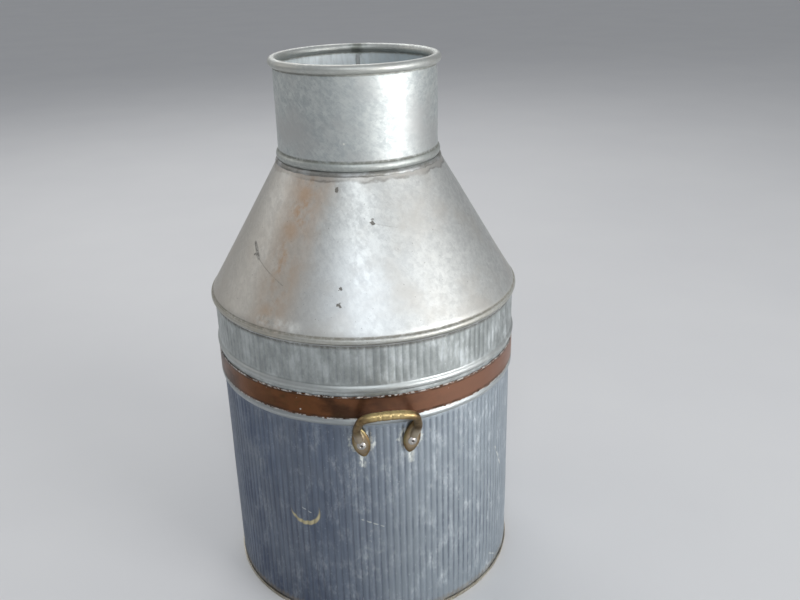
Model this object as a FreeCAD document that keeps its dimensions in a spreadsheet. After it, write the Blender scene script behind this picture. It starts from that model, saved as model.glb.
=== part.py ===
import FreeCAD, Part
import math
import os
import Sketcher

# Galvanised sheet-metal can: ribbed round body, cone shoulder, plain neck, copper strip and two
# brass handles held by blind rivets. Millimetres, +Z up, base ring on z = 0, front handle at -Y.

PARTS_FOLDER = "parts"
Vec = FreeCAD.Vector

SIZES = {
    # sheet and wire
    "sheet": 0.8,
    "plain_gauge": 1,
    "play": 0.1,
    "overlap": 0.5,
    # body
    "body_radius": 140,
    "upper_radius": 141.5,
    "rib_depth": 0.9,
    "body_floor_edge": 0.9,
    "ribs_low": 4.6,
    "waist_low": 208.5,
    "waist_high": 251.5,
    "ribs_high": 286.2,
    "body_top": 290.4,
    "plain_inset": 0.2,
    # the two swaged beads and the copper strip between them
    "lower_bead_height": 214,
    "upper_bead_height": 245.8,
    "bead_half": 3.3,
    "bead_proud": 1.7,
    "strip_bottom": 217.7,
    "strip_top": 239.8,
    "strip_gauge": 0.5,
    # base pan
    "pan_height": 7,
    "hem_height": 4.2,
    "hem_gap": 1.4,
    "floor_solder_leg": 2,
    # shoulder cone and its beaded skirt, which caps the body
    "cone_low": 293.3,
    "cone_high": 412,
    "cone_radius_low": 142.5,
    "cone_radius_high": 73,
    "cone_wall": 0.93,
    "skirt_bottom": 287.6,
    "skirt_proud": 1.8,
    "skirt_solder_drop": 1.6,
    "skirt_solder_width": 0.9,
    # neck and its wired rim
    "neck_radius": 72,
    "neck_bottom": 408,
    "neck_bead_height": 416.5,
    "neck_bead_half": 3.7,
    "neck_bead_proud": 1.9,
    "rim_height": 496,
    "rim_section": 4,
    "rim_wire_section": 3.1,
    "roll_end": 300,
    "joint_solder_run": 2.3,
    "joint_solder_thickness": 0.7,
    "joint_solder_rise": 0.8,
    "joint_solder_lip": 0.4,
    # seams
    "seam_angle": 82,
    "body_seam_angle": 60,
    "neck_seam_width": 7,
    "cone_seam_width": 8,
    "body_seam_width": 9,
    "solder_thickness": 0.5,
    "lock_thickness": 1.0,
    "ridge_width": 4.5,
    "ridge_thickness": 0.9,
    "seam_end_gap": 1,
    "lap_end_gap": 0.8,
    "cone_seam_low_gap": 3,
    "cone_seam_high_gap": 6,
    "slab_inside": 3,
    "slab_outside": 4,
    # handles
    "rivet_height": 193.5,
    "rivet_angle": 8.8,
    "foot_up": 19,
    "foot_down": 12.5,
    "foot_half_width": 7.6,
    "foot_lean": 11,
    "foot_face": 144.2,
    "foot_sunk": 3,
    "relief_height": 400,
    "grip_section": 4,
    "grip_reach": 160.5,
    "grip_rise": 37.5,
    "grip_half": 15,
    "leg_reach": 141.5,
    "leg_rise": 5,
    "leg_start": 23.6,
    "leg_half": 26.2,
    "leg_straight": 0.42,
    "grip_crown": 1.8,
    # blind rivets
    "rivet_head": 4.0,
    "rivet_head_rise": 1.6,
    "rivet_dome": 3.2,
    "rivet_lip": 0.6,
    "rivet_shank": 2,
    "rivet_bore": 1.2,
    "rivet_tail": 2.9,
    "rivet_tail_inside": 135.4,
    "rivet_tail_length": 3.2,
    "pin_radius": 1.1,
    "pin_recess": 0.7,
    "pin_head": 2,
    "pin_head_length": 1.4,
    "drill_length": 200,
}
RIB_COUNT = 144
CREST_SHARE = 0.74
SHOULDER_SHARE = 0.7

document = FreeCAD.newDocument("ribbed_can")
sheet = document.addObject("Spreadsheet::Sheet", "Sizes")
for row, (alias, value) in enumerate(SIZES.items(), start=1):
    sheet.set(f"A{row}", alias.replace("_", " "))
    sheet.set(f"B{row}", str(value))
    sheet.setAlias(f"B{row}", alias)
document.recompute()


def bound(expression):
    """A formula in plain aliases, rewritten to point at the sheet."""
    words = sorted(SIZES, key=len, reverse=True)
    text = expression
    for number, word in enumerate(words):
        text = replace_word(text, word, f"#{number}#")
    for number, word in enumerate(words):
        text = text.replace(f"#{number}#", f"Sizes.{word}")
    return text


def replace_word(text, word, mark):
    """Replace whole words only, so that 'sheet' leaves longer aliases alone."""
    out = ""
    while word in text:
        at = text.index(word)
        end = at + len(word)
        before = text[at - 1] if at else " "
        after = text[end] if end < len(text) else " "
        whole = not (before.isalnum() or before == "_" or after.isalnum() or after == "_")
        out += text[:at] + (mark if whole else word)
        text = text[end:]
    return out + text


def size(expression):
    """The present value of a formula in aliases."""
    return float(sheet.evalExpression(bound(str(expression))))


def origin_plane(body, role):
    return [plane for plane in body.Origin.OriginFeatures if plane.Role == role][0]


def new_sketch(body, name, role):
    sketch = body.newObject("Sketcher::SketchObject", name)
    sketch.AttachmentSupport = [(origin_plane(body, role), "")]
    sketch.MapMode = "FlatFace"
    return sketch


def draw_outline(sketch, points):
    """A closed outline of (x, y) formulas.

    A point may add (sign, radius): the side that leaves it is then an arc of that radius, which
    bulges to the right of travel when sign is +1 and to the left when it is -1.
    """
    count = len(points)
    places = [Vec(size(point[0]), size(point[1]), 0) for point in points]
    for side, point in enumerate(points):
        start, end = places[side], places[(side + 1) % count]
        if len(point) == 4:
            sketch.addGeometry(shallow_arc(start, end, point[2], size(point[3])), False)
        else:
            sketch.addGeometry(Part.LineSegment(start, end), False)
    starts = [start_vertex(sketch.Geometry[side], places[side]) for side in range(count)]
    for side in range(count):
        following = (side + 1) % count
        leave = 3 - starts[side]
        joint = Sketcher.Constraint("Coincident", side, leave, following, starts[following])
        sketch.addConstraint(joint)
    for side, point in enumerate(points):
        fix_vertex(sketch, side, starts[side], "DistanceX", point[0])
        fix_vertex(sketch, side, starts[side], "DistanceY", point[1])
        if len(point) == 4:
            number = sketch.addConstraint(Sketcher.Constraint("Radius", side, size(point[3])))
            sketch.setExpression(f"Constraints[{number}]", bound(point[3]))


def fix_vertex(sketch, side, vertex, kind, formula):
    place = sketch.getPoint(side, vertex)
    now = place.x if kind == "DistanceX" else place.y
    if str(formula) == "0":
        axis = -2 if kind == "DistanceX" else -1
        sketch.addConstraint(Sketcher.Constraint("PointOnObject", side, vertex, axis))
        return
    number = sketch.addConstraint(Sketcher.Constraint(kind, -1, 1, side, vertex, now))
    sketch.setExpression(f"Constraints[{number}]", bound(str(formula)))


def start_vertex(curve, place):
    """Arcs always run anticlockwise, so their first vertex may be the outline's second."""
    return 1 if curve.StartPoint.distanceToPoint(place) < 1e-6 else 2


def shallow_arc(start, end, sign, radius):
    """The short arc from start to end, on the right of travel when sign is +1.

    It is always laid anticlockwise, because a sketch keeps no clockwise arcs.
    """
    chord = end - start
    half = chord.Length / 2
    middle = (start + end) * 0.5
    right = Vec(chord.y, -chord.x, 0)
    right.normalize()
    sagitta = radius - math.sqrt(radius ** 2 - half ** 2)
    top = middle + right * (sign * sagitta)
    return Part.Arc(start, top, end) if sign > 0 else Part.Arc(end, top, start)


def turned(name, points):
    """A PartDesign body revolved about Z from an outline of (radius, height) formulas."""
    body = document.addObject("PartDesign::Body", name)
    body.Label = name
    sketch = new_sketch(body, name + "_outline", "XZ_Plane")
    draw_outline(sketch, points)
    turn = body.newObject("PartDesign::Revolution", name + "_turn")
    turn.Profile = sketch
    turn.ReferenceAxis = (sketch, ["V_Axis"])
    turn.Angle = 360
    sketch.Visibility = False
    return body


def torus(name, major, minor, height):
    ring = document.addObject("Part::Torus", name)
    ring.Label = name
    ring.setExpression("Radius1", bound(major))
    ring.setExpression("Radius2", bound(minor))
    ring.setExpression("Placement.Base.z", bound(height))
    return ring


def combined(kind, name, *operands):
    """A Part boolean: Cut and Common take two operands, MultiFuse any number."""
    result = document.addObject(kind, name)
    result.Label = name
    if kind == "Part::MultiFuse":
        result.Shapes = list(operands)
    else:
        result.Base, result.Tool = operands
    return result


def arc_radius(half, proud):
    return f"({half} * {half} + {proud} * {proud}) / (2 * {proud})"


# ---------------------------------------------------------------- base pan
def build_base_pan():
    """Recessed floor whose flange folds under the body's lower edge and up outside it."""
    inner = "body_radius - plain_inset - plain_gauge - play"
    outer = f"{inner} + hem_gap + sheet"
    points = [
        ("0", "pan_height - sheet"),
        (f"{inner} - sheet", "pan_height - sheet"),
        (f"{inner} - sheet", "sheet", 1, "sheet"),
        (inner, "0"),
        (f"{outer} - sheet", "0", 1, "sheet"),
        (outer, "sheet"),
        (outer, "hem_height"),
        (f"{outer} - sheet", "hem_height"),
        (f"{outer} - sheet", "sheet"),
        (inner, "sheet"),
        (inner, "pan_height"),
        ("0", "pan_height"),
    ]
    return turned("base_pan", points)


def build_base_seam_solder():
    """Fillet of solder inside, where the floor meets the wall."""
    wall = "body_radius - rib_depth - sheet - play"
    points = [
        (f"{wall} - floor_solder_leg", "pan_height + play"),
        (wall, "pan_height + play"),
        (wall, "pan_height + floor_solder_leg"),
    ]
    return turned("base_seam_solder", points)


# ---------------------------------------------------------------- ribbed body
def rib_wave(crest_radius, depth):
    """One closed wire of rounded crests with narrow grooves between them."""
    step = 2 * math.pi / RIB_COUNT
    crest_half = step * CREST_SHARE / 2
    shoulder = crest_radius - SHOULDER_SHARE * depth
    edges = []
    for rib in range(RIB_COUNT):
        middle = rib * step
        left = polar(shoulder, middle - crest_half)
        crest = polar(crest_radius, middle)
        right = polar(shoulder, middle + crest_half)
        groove = polar(crest_radius - depth, middle + step / 2)
        following = polar(shoulder, middle + step - crest_half)
        edges.append(Part.Arc(left, crest, right).toShape())
        edges.append(Part.Arc(right, groove, following).toShape())
    return Part.Wire(edges)


def polar(radius, angle):
    return Vec(radius * math.cos(angle), radius * math.sin(angle), 0)


def ribbed_wall(name, radius_alias, low, high):
    """Corrugated tube: the wave's face is a Part::Feature, its height a bound extrusion."""
    section = document.addObject("Part::Feature", name + "_section")
    crest = size(radius_alias)
    depth = size("rib_depth")
    outer = Part.Face(rib_wave(crest, depth))
    inner = Part.Face(rib_wave(crest - size("sheet"), depth))
    section.Shape = outer.cut(inner)
    section.Placement = FreeCAD.Placement(Vec(0, 0, size(low)), FreeCAD.Rotation())
    wall = document.addObject("Part::Extrusion", name)
    wall.Base = section
    wall.DirMode = "Custom"
    wall.Dir = Vec(0, 0, 1)
    wall.Solid = True
    wall.setExpression("LengthFwd", bound(f"{high} - ({low})"))
    return wall


def build_body_blank():
    """Lower ribs, plain waist with two beads, upper ribs and plain edges, as one sheet."""
    lower_outer = "body_radius - plain_inset"
    upper_outer = "upper_radius - plain_inset"
    bead = arc_radius("bead_half", "bead_proud")
    inner_bead = f"{bead} - sheet"
    inner_half = "bead_half - 0.5 * sheet"
    points = [
        (lower_outer, "waist_low"),
        (lower_outer, "lower_bead_height - bead_half", 1, bead),
        (upper_outer, "lower_bead_height + bead_half"),
        (upper_outer, "upper_bead_height - bead_half", 1, bead),
        (upper_outer, "upper_bead_height + bead_half"),
        (upper_outer, "waist_high"),
        (f"{upper_outer} - plain_gauge", "waist_high"),
        (f"{upper_outer} - plain_gauge", f"upper_bead_height + {inner_half}", -1, inner_bead),
        (f"{upper_outer} - plain_gauge", f"upper_bead_height - ({inner_half})"),
        (f"{upper_outer} - plain_gauge", f"lower_bead_height + {inner_half}", -1, inner_bead),
        (f"{lower_outer} - plain_gauge", f"lower_bead_height - ({inner_half})"),
        (f"{lower_outer} - plain_gauge", "waist_low"),
    ]
    waist = turned("body_waist", points)
    hem = plain_ring("body_bottom_edge", lower_outer, "body_floor_edge", "ribs_low + overlap")
    top = plain_ring("body_top_edge", upper_outer, "ribs_high - overlap", "body_top")
    low_ribs = ribbed_wall("lower_ribs", "body_radius", "ribs_low", "waist_low + overlap")
    high_ribs = ribbed_wall("upper_ribs", "upper_radius", "waist_high - overlap", "ribs_high")
    return combined("Part::MultiFuse", "body_blank", hem, low_ribs, waist, high_ribs, top)


def plain_ring(name, outer, low, high):
    return tube(name, f"{outer} - plain_gauge", outer, low, high)


# ---------------------------------------------------------------- copper strip
def build_copper_strip():
    inner = "upper_radius - plain_inset + 0.5 * play"
    points = [
        (inner, "strip_bottom"),
        (f"{inner} + strip_gauge", "strip_bottom"),
        (f"{inner} + strip_gauge", "strip_top"),
        (inner, "strip_top"),
    ]
    return turned("copper_strip", points)


# ---------------------------------------------------------------- shoulder
def build_shoulder_cone():
    """Cone sheet whose lower edge turns down into a beaded skirt over the body's top."""
    bead_half = "(cone_low - skirt_bottom) / 2"
    bead = arc_radius(bead_half, "skirt_proud")
    skirt_inner = "cone_radius_low - sheet"
    points = [
        ("cone_radius_high - cone_wall", "cone_high"),
        ("cone_radius_low - cone_wall", "cone_low"),
        (skirt_inner, "cone_low - sheet", -1, f"{bead} - 0.5 * sheet"),
        (skirt_inner, "skirt_bottom"),
        ("cone_radius_low", "skirt_bottom", 1, bead),
        ("cone_radius_low", "cone_low"),
        ("cone_radius_high", "cone_high"),
    ]
    return turned("shoulder_cone", points)


def build_shoulder_solder():
    """Solder run in the corner under the skirt, on the outside."""
    wall = "upper_radius + 0.5 * play"
    under_skirt = "skirt_bottom - 0.5 * play"
    points = [
        (wall, "skirt_bottom - skirt_solder_drop"),
        (f"{wall} + skirt_solder_width", under_skirt),
        (wall, under_skirt),
    ]
    return turned("shoulder_solder", points)


# ---------------------------------------------------------------- neck
def build_neck_tube():
    """Straight neck with one swaged bead; its top edge is rolled round a wire."""
    inner = "neck_radius - sheet"
    bead = arc_radius("neck_bead_half", "neck_bead_proud")
    inner_half = "neck_bead_half - 0.4 * sheet"
    hollow = "(rim_section - sheet)"
    half_gauge = "0.5 * sheet"
    wall_top_outside = f"rim_height - sqrt({hollow} * {hollow} - {half_gauge} * {half_gauge})"
    wall_top_inside = f"rim_height - sqrt(rim_section * rim_section - {half_gauge} * {half_gauge})"
    points = [
        (inner, "neck_bottom"),
        ("neck_radius", "neck_bottom"),
        ("neck_radius", "neck_bead_height - neck_bead_half", 1, bead),
        ("neck_radius", "neck_bead_height + neck_bead_half"),
        ("neck_radius", wall_top_outside, -1, hollow),
        *roll(hollow, (180, 90, 0), -1),
        roll(hollow, ("roll_end",), 0)[0],
        *roll("rim_section", ("roll_end", 0, 90, 180), 1),
        (inner, wall_top_inside),
        (inner, f"neck_bead_height + {inner_half}", -1, f"{bead} - 0.4 * sheet"),
        (inner, f"neck_bead_height - ({inner_half})"),
    ]
    return turned("neck_tube", points)


def roll(radius, angles, sign):
    """Points on the rim's section; with a sign, the side that leaves each one is an arc."""
    centre = "(neck_radius - 0.5 * sheet)"
    points = []
    for angle in angles:
        place = (f"{centre} + {radius} * cos({angle} * 1 deg)",
                 f"rim_height + {radius} * sin({angle} * 1 deg)")
        points.append(place + (sign, radius) if sign else place)
    return points


def build_neck_joint_solder():
    """Ring of solder between the neck's bead and the top of the cone."""
    slope = "(cone_radius_low - cone_radius_high) / (cone_high - cone_low)"
    toe = f"cone_radius_high + {slope} * joint_solder_run + play"
    points = [
        ("neck_radius + play", "cone_high + play"),
        ("cone_radius_high + 0.5 * play", "cone_high + play"),
        (toe, "cone_high - joint_solder_run"),
        (f"{toe} + joint_solder_thickness", "cone_high - joint_solder_run + joint_solder_thickness"),
        ("cone_radius_high + joint_solder_lip", "cone_high + joint_solder_rise"),
        ("neck_radius + play", "cone_high + joint_solder_rise"),
    ]
    return turned("neck_joint_solder", points)


# ---------------------------------------------------------------- vertical seams
def seam_box(name, width, angle, low, high, inner, outer):
    """A slab that stands across the wall at the seam's angle."""
    slab = document.addObject("Part::Box", name + "_slab")
    slab.setExpression("Length", bound(f"{outer} - ({inner})"))
    slab.setExpression("Width", bound(width))
    slab.setExpression("Height", bound(f"{high} - ({low})"))
    turn = FreeCAD.Rotation(Vec(0, 0, 1), size(angle))
    corner = Vec(size(inner), -size(width) / 2, size(low))
    slab.Placement = FreeCAD.Placement(turn.multVec(corner), turn)
    return slab


def neck_seam_run(name, width, inner, outer):
    """A strip on the neck's wall, between the bead and the rim, at the seam's angle."""
    low = "neck_bead_height + neck_bead_half + overlap"
    high = "rim_height - rim_section - overlap"
    slab = seam_box(name, width, "seam_angle", low, high,
                    "neck_radius - slab_inside", "neck_radius + slab_outside")
    skin = tube(name + "_skin", inner, outer, low, high)
    return combined("Part::Common", name, slab, skin)


def build_neck_seam_solder():
    face = "neck_radius + 0.2 * play"
    return neck_seam_run("neck_seam_solder", "neck_seam_width", face, f"{face} + solder_thickness")


def build_neck_inner_ridge():
    """Raised soldered edge of the lap, inside the neck."""
    face = "neck_radius - sheet - 0.2 * play"
    return neck_seam_run("neck_inner_ridge", "ridge_width", f"{face} - ridge_thickness", face)


def tube(name, inner, outer, low, high):
    points = [(inner, low), (outer, low), (outer, high), (inner, high)]
    return turned(name, points)


def build_cone_seam_solder():
    slab = seam_box("cone_seam", "cone_seam_width", "seam_angle",
                    "cone_low + cone_seam_low_gap", "cone_high - cone_seam_high_gap",
                    "cone_radius_high - slab_inside", "cone_radius_low + slab_outside")
    points = [
        ("cone_radius_low + 0.5 * play", "cone_low"),
        ("cone_radius_low + 0.5 * play + solder_thickness", "cone_low"),
        ("cone_radius_high + 0.5 * play + solder_thickness", "cone_high"),
        ("cone_radius_high + 0.5 * play", "cone_high"),
    ]
    skin = turned("cone_seam_skin", points)
    return combined("Part::Common", "cone_seam_solder", slab, skin)


def build_body_lock_seam():
    """Folded lock seam of the body, in two runs: below and above the beads."""
    runs = []
    spans = (
        ("lower", "body_radius", "ribs_low + seam_end_gap", "waist_low + seam_end_gap"),
        ("upper", "upper_radius", "waist_high - seam_end_gap", "ribs_high - overlap"),
    )
    for word, radius, low, high in spans:
        face = f"{radius} + 0.2 * play"
        slab = seam_box(f"body_seam_{word}", "body_seam_width", "body_seam_angle", low, high,
                        f"{radius} - slab_inside", f"{radius} + slab_outside")
        skin = tube(f"body_seam_{word}_skin", face, f"{face} + lock_thickness", low, high)
        runs.append(combined("Part::Common", f"body_seam_{word}_run", slab, skin))
    return grouped("body_lock_seam", runs)


def build_strip_lap_solder():
    """Soldered lap where the copper strip's ends meet."""
    low = "strip_bottom + lap_end_gap"
    high = "strip_top - lap_end_gap"
    face = "upper_radius - plain_inset + 0.7 * play + strip_gauge"
    slab = seam_box("strip_lap", "body_seam_width", "body_seam_angle", low, high,
                    "upper_radius - slab_inside", "upper_radius + slab_outside")
    skin = tube("strip_lap_skin", face, f"{face} + solder_thickness", low, high)
    return combined("Part::Common", "strip_lap_solder", slab, skin)


def grouped(name, members):
    group = document.addObject("Part::Compound", name)
    group.Label = name
    group.Links = members
    return group


# ---------------------------------------------------------------- handles
def almond(sketch):
    """Pointed foot outline about the rivet: tip below, long shoulder above."""
    span = "(foot_up + foot_down)"
    edge = arc_radius(f"({span} / 2)", "foot_half_width")
    draw_outline(sketch, [("0", "-foot_down", 1, edge), ("0", "foot_up", 1, edge)])


def build_casting(side, turn_angle):
    """Cast bridge handle: two leaf feet shaped to the wall and a round bar between them."""
    name = side + "_casting"
    body = document.addObject("PartDesign::Body", name)
    foot_sketch = new_sketch(body, name + "_foot_outline", "XZ_Plane")
    almond(foot_sketch)
    spin = FreeCAD.Rotation(Vec(0, 0, 1), size("rivet_angle"))
    lean = FreeCAD.Rotation(Vec(0, 1, 0), -size("foot_lean"))
    place = spin.multVec(Vec(0, -size("foot_face"), size("rivet_height")))
    to_local = origin_plane(body, "XZ_Plane").Placement.Rotation.inverted()
    wanted = spin.multiply(lean).multiply(origin_plane(body, "XZ_Plane").Placement.Rotation)
    offset = FreeCAD.Placement(to_local.multVec(place), to_local.multiply(wanted))
    foot_sketch.AttachmentOffset = offset
    foot = body.newObject("PartDesign::Pad", name + "_foot")
    foot.Profile = foot_sketch
    foot.setExpression("Length", bound("foot_face - body_radius + foot_sunk"))
    foot.Reversed = True
    document.recompute()
    mirror = body.newObject("PartDesign::Mirrored", name + "_other_foot")
    mirror.Originals = [foot]
    mirror.MirrorPlane = (origin_plane(body, "YZ_Plane"), [""])
    body.Tip = mirror
    document.recompute()
    path = handle_path(body, name)
    start = path.Shape.Edges[0].valueAt(path.Shape.Edges[0].FirstParameter)
    heading = path.Shape.Edges[0].tangentAt(path.Shape.Edges[0].FirstParameter)
    section = new_sketch(body, name + "_bar_section", "XY_Plane")
    section.AttachmentOffset = FreeCAD.Placement(start, FreeCAD.Rotation(Vec(0, 0, 1), heading))
    round_bar = Part.Circle(Vec(0, 0, 0), Vec(0, 0, 1), size("grip_section"))
    circle = section.addGeometry(round_bar, False)
    section.addConstraint(Sketcher.Constraint("Coincident", circle, 3, -1, 1))
    number = section.addConstraint(Sketcher.Constraint("Radius", circle, size("grip_section")))
    section.setExpression(f"Constraints[{number}]", bound("grip_section"))
    document.recompute()
    bar = body.newObject("PartDesign::AdditivePipe", name + "_bar")
    bar.Profile = section
    bar.Spine = (path, [f"Edge{edge + 1}" for edge in range(len(path.Shape.Edges))])
    document.recompute()
    wall = body.newObject("PartDesign::SubtractiveCylinder", name + "_wall_relief")
    wall.setExpression("Radius", bound("body_radius + 0.5 * play"))
    wall.setExpression("Height", bound("relief_height"))
    document.recompute()
    body.Tip = wall
    body.Placement = FreeCAD.Placement(Vec(0, 0, 0), FreeCAD.Rotation(Vec(0, 0, 1), turn_angle))
    return body


def handle_path(body, name):
    """The bar's centre line: up each leg, round the corners and over the crowned grip."""
    rise = size("grip_rise") - size("leg_rise")
    reach = size("grip_reach") - size("leg_reach")
    length = math.hypot(rise, reach)
    tilt = math.degrees(math.atan2(reach, rise))
    sketch = new_sketch(body, name + "_bar_path", "XZ_Plane")
    place = Vec(0, -size("leg_reach"), size("rivet_height + leg_rise"))
    plane = origin_plane(body, "XZ_Plane").Placement.Rotation
    lean = FreeCAD.Rotation(Vec(1, 0, 0), tilt)
    to_local = plane.inverted()
    wanted = lean.multiply(plane)
    sketch.AttachmentOffset = FreeCAD.Placement(to_local.multVec(place), to_local.multiply(wanted))
    start = Vec(size("leg_start"), 0, 0)
    knee = Vec(size("leg_half"), length * size("leg_straight"), 0)
    shoulder = Vec(size("grip_half"), length - size("grip_crown"), 0)
    crown = Vec(0, length, 0)
    heading = knee - start
    heading.normalize()
    corner = tangent_arc(knee, heading, shoulder)
    sketch.addGeometry(Part.LineSegment(start, knee), False)
    sketch.addGeometry(Part.Arc(knee, corner, shoulder), False)
    sketch.addGeometry(Part.Arc(shoulder, crown, mirrored(shoulder)), False)
    sketch.addGeometry(Part.Arc(mirrored(shoulder), mirrored(corner), mirrored(knee)), False)
    sketch.addGeometry(Part.LineSegment(mirrored(knee), mirrored(start)), False)
    document.recompute()
    return sketch


def mirrored(point):
    return Vec(-point.x, point.y, 0)


def tangent_arc(start, heading, end):
    """The middle point of the arc that leaves start along heading and reaches end."""
    chord = end - start
    normal = Vec(-heading.y, heading.x, 0)
    radius = chord.dot(chord) / (2 * chord.dot(normal))
    centre = start + normal * radius
    middle = (start + end) * 0.5 - centre
    middle.normalize()
    return centre + middle * abs(radius)


# ---------------------------------------------------------------- blind rivets
def rivet_piece(name, points, angle):
    """A small turned piece, laid along the radius at the given angle from -Y."""
    piece = turned(name, points)
    piece.Placement = along_radius(angle)
    return piece


def build_rivets(side, middle_angle):
    """Two rivet shells and the two broken pins left inside them; z is the distance outwards."""
    tail = "rivet_tail_inside"
    shell_points = [
        ("rivet_bore", tail),
        ("rivet_tail", tail),
        ("rivet_tail", f"{tail} + rivet_tail_length"),
        ("rivet_shank", f"{tail} + rivet_tail_length"),
        ("rivet_shank", "foot_face"),
        ("rivet_head", "foot_face", 1, "rivet_dome"),
        ("rivet_bore + rivet_lip", "foot_face + rivet_head_rise"),
        ("rivet_bore", "foot_face + rivet_head_rise"),
    ]
    pin_points = [
        ("0", f"{tail} - pin_head_length - play"),
        ("pin_head", f"{tail} - pin_head_length - play"),
        ("pin_head", f"{tail} - play"),
        ("pin_radius", f"{tail} - play"),
        ("pin_radius", "foot_face + rivet_head_rise - pin_recess"),
        ("0", "foot_face + rivet_head_rise - pin_recess"),
    ]
    shells = []
    pins = []
    for hand, sign in (("left", -1), ("right", 1)):
        angle = middle_angle + sign * size("rivet_angle")
        shells.append(rivet_piece(f"{side}_{hand}_shell", shell_points, angle))
        pins.append(rivet_piece(f"{side}_{hand}_pin", pin_points, angle))
    return [grouped(f"{side}_rivet_shells", shells), grouped(f"{side}_rivet_pins", pins)]


def rivet_drills(side, middle_angle):
    """The two clearance holes of one handle, as cylinders from the axis outwards."""
    drills = []
    for hand, sign in (("left", -1), ("right", 1)):
        drill = document.addObject("Part::Cylinder", f"{side}_{hand}_drill")
        drill.setExpression("Radius", bound("rivet_shank + 0.5 * play"))
        drill.setExpression("Height", bound("drill_length"))
        drill.Placement = along_radius(middle_angle + sign * size("rivet_angle"))
        drills.append(drill)
    return grouped(f"{side}_drills", drills)


def along_radius(angle):
    """Lays a piece built along Z on the rivets' level, pointing outwards at an angle from -Y."""
    spin = FreeCAD.Rotation(Vec(0, 0, 1), angle)
    lay = FreeCAD.Rotation(Vec(1, 0, 0), 90)
    return FreeCAD.Placement(Vec(0, 0, size("rivet_height")), spin.multiply(lay))


# ---------------------------------------------------------------- assembly
def build_all():
    """Every sub-part, in the order in which the can goes together."""
    front_drills = rivet_drills("front", 0)
    back_drills = rivet_drills("back", 180)
    every_drill = grouped("rivet_drills", [front_drills, back_drills])
    shell = combined("Part::Cut", "body_shell", build_body_blank(), every_drill)
    front_handle = combined("Part::Cut", "front_handle", build_casting("front", 0), front_drills)
    back_handle = combined("Part::Cut", "back_handle", build_casting("back", 180), back_drills)
    return [
        build_base_pan(),
        build_base_seam_solder(),
        shell,
        build_body_lock_seam(),
        build_copper_strip(),
        build_strip_lap_solder(),
        build_shoulder_cone(),
        build_shoulder_solder(),
        build_cone_seam_solder(),
        build_neck_tube(),
        torus("rim_wire", "neck_radius - 0.5 * sheet", "rim_wire_section", "rim_height"),
        build_neck_joint_solder(),
        build_neck_seam_solder(),
        build_neck_inner_ridge(),
        front_handle,
        back_handle,
        *build_rivets("front", 0),
        *build_rivets("back", 180),
    ]


def check_document():
    for item in document.Objects:
        faults = [state for state in item.State if state in ("Invalid", "Error")]
        if faults:
            raise RuntimeError(f"{item.Label} failed: {faults}")


def check_shape(part):
    shape = part.Shape
    if shape.isNull() or not shape.isValid():
        raise RuntimeError(f"{part.Label} has no valid shape")
    if not shape.Solids:
        raise RuntimeError(f"{part.Label} holds no solid")


parts = build_all()
document.recompute()
check_document()
os.makedirs(PARTS_FOLDER, exist_ok=True)
for part in parts:
    check_shape(part)
for part in parts:
    part.Shape.exportStep(os.path.join(PARTS_FOLDER, part.Label + ".step"))
    box = part.Shape.BoundBox
    print(f"{part.Label}: {len(part.Shape.Solids)} solids, {part.Shape.Volume / 1000:.2f} cm3, "
          f"z {box.ZMin:.1f} to {box.ZMax:.1f}, x {box.XMin:.1f} to {box.XMax:.1f}")
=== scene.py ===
import math

import bpy
import numpy as np
from mathutils import Matrix, Vector


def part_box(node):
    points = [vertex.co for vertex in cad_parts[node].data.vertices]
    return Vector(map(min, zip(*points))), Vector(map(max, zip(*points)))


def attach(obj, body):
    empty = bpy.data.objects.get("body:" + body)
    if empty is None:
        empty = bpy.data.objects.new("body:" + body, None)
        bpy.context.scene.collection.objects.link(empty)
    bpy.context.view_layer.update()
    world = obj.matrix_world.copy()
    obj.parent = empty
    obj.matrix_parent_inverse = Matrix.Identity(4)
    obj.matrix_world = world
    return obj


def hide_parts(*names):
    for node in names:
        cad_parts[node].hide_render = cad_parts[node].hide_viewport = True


# Galvanised milk can. Shapes are worked out in millimetres and built in metres. Angles are degrees
# about the can's axis, counted from the front (-Y) towards +X.

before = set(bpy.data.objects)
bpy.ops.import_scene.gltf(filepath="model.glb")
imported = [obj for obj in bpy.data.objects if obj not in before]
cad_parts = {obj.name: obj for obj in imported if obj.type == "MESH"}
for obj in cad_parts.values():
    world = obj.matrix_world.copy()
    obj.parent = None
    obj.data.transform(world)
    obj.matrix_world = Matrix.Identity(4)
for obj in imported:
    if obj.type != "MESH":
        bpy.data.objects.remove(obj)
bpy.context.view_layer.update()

MM = 0.001
UP = Vector((0, 0, 1))


# ------------------------------ sizes read from the frame
def reach(node):
    """A round node's outer radius, lowest and highest points, in millimetres."""
    low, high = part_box(node)
    return high.x / MM, low.z / MM, high.z / MM


SHEET = 0.8
# An outline that closes on the axis starts this far from it.
AXIS = 0.01
BEAD_PROUD, BEAD_HALF = 1.7, 3.3
PLAIN_INSET = 0.2
body_outer, BODY_LOW, BODY_TOP = reach("body_shell")
UPPER_RADIUS = body_outer - BEAD_PROUD + PLAIN_INSET
UPPER_STEP = 1.5
BODY_RADIUS = UPPER_RADIUS - UPPER_STEP
strip_outer, STRIP_LOW, STRIP_HIGH = reach("copper_strip")
STRIP_GAUGE = 0.5
LOWER_BEAD, UPPER_BEAD = STRIP_LOW - 3.7, STRIP_HIGH + 6
WAIST_LOW, WAIST_HIGH = LOWER_BEAD - 5.5, UPPER_BEAD + 5.7
RIBS_LOW, RIBS_HIGH = BODY_LOW + 3.7, BODY_TOP - 4.2
RIB_COUNT, RIB_DEPTH, CREST_SHARE = 144, 0.9, 0.74
UPPER_RIB_SHARE = 0.55

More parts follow.
